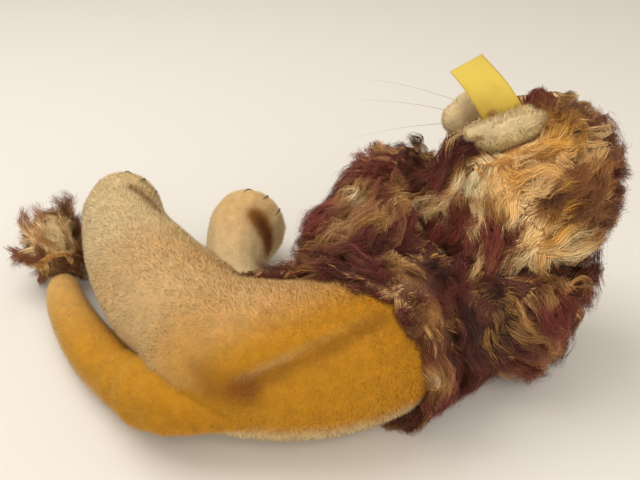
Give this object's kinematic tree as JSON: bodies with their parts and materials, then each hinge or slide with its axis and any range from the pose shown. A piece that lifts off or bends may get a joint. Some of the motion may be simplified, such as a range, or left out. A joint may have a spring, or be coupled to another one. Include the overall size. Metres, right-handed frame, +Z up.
{
  "type": "plush lion",
  "caption": "Soft plush lion of short golden pile with a shaggy dark mane, lying with its legs to one side, its head turned back on a swivelling neck and its tail curled round behind.",
  "frame": {"origin": "middle of the animal's plan, on the surface that it lies on", "axes": "+X towards the head end of the body, +Y the way the legs reach, +Z up"},
  "size_m": [0.3048, 0.21, 0.1569],
  "materials": {
    "golden_pile": "short golden mohair pile, airbrushed darker along the seams",
    "cream_pile": "short cream mohair pile",
    "mane_pile": "long cream and gold mohair with dark red-brown tips",
    "stuffing": "packed wood wool and fibre",
    "claw_thread": "waxed dark thread",
    "nose_thread": "rust-brown embroidery thread",
    "whisker_thread": "stiff clear monofilament",
    "eye_glass": "amber glass with a black pupil",
    "steel": "plain steel wire and washers",
    "hardboard": "pressed hardboard",
    "label_cloth": "plain yellow woven ribbon"
  },
  "bodies": {
    "body": {"torso_cover": "golden_pile", "torso_stuffing": "stuffing", "hind_leg_left_cover": "cream_pile", "hind_leg_left_stuffing": "stuffing", "hind_leg_right_cover": "cream_pile", "hind_leg_right_stuffing": "stuffing", "tail_cover": "golden_pile", "tail_stuffing": "stuffing", "tail_tuft": "mane_pile", "front_leg_left_cover": "cream_pile", "front_leg_left_stuffing": "stuffing", "front_leg_right_cover": "cream_pile", "front_leg_right_stuffing": "stuffing", "hind_leg_left_claw_1": "claw_thread", "hind_leg_left_claw_2": "claw_thread", "hind_leg_left_claw_3": "claw_thread", "hind_leg_left_claw_4": "claw_thread", "hind_leg_right_claw_1": "claw_thread", "hind_leg_right_claw_2": "claw_thread", "hind_leg_right_claw_3": "claw_thread", "hind_leg_right_claw_4": "claw_thread", "front_leg_left_claw_1": "claw_thread", "front_leg_left_claw_2": "claw_thread", "front_leg_left_claw_3": "claw_thread", "front_leg_left_claw_4": "claw_thread", "front_leg_right_claw_1": "claw_thread", "front_leg_right_claw_2": "claw_thread", "front_leg_right_claw_3": "claw_thread", "front_leg_right_claw_4": "claw_thread", "mane_shoulders": "mane_pile", "neck_disc_body": "hardboard", "neck_washer_body": "steel", "neck_pin": "steel"},
    "head": {"head_cover": "cream_pile", "head_stuffing": "stuffing", "nose_stitching": "nose_thread", "mouth_stitching": "claw_thread", "whisker_left_upper": "whisker_thread", "whisker_left_middle": "whisker_thread", "whisker_left_lower": "whisker_thread", "whisker_right_upper": "whisker_thread", "whisker_right_middle": "whisker_thread", "whisker_right_lower": "whisker_thread", "eye_left": "eye_glass", "eye_wire_left": "steel", "eye_right": "eye_glass", "eye_wire_right": "steel", "ear_left_back": "golden_pile", "ear_left_front": "cream_pile", "ear_right_back": "golden_pile", "ear_right_front": "cream_pile", "ear_label": "label_cloth", "neck_disc_head": "hardboard", "neck_washer_head": "steel", "mane_head": "mane_pile"}
  },
  "joints": [
    {"name": "neck_swivel", "type": "hinge", "parent": "body", "child": "head", "pos_m": [0.09943, -0.01318, 0.05653], "axis": [0.2904, 0.1057, 0.9511], "range_deg": [-150, 10]}
  ]
}
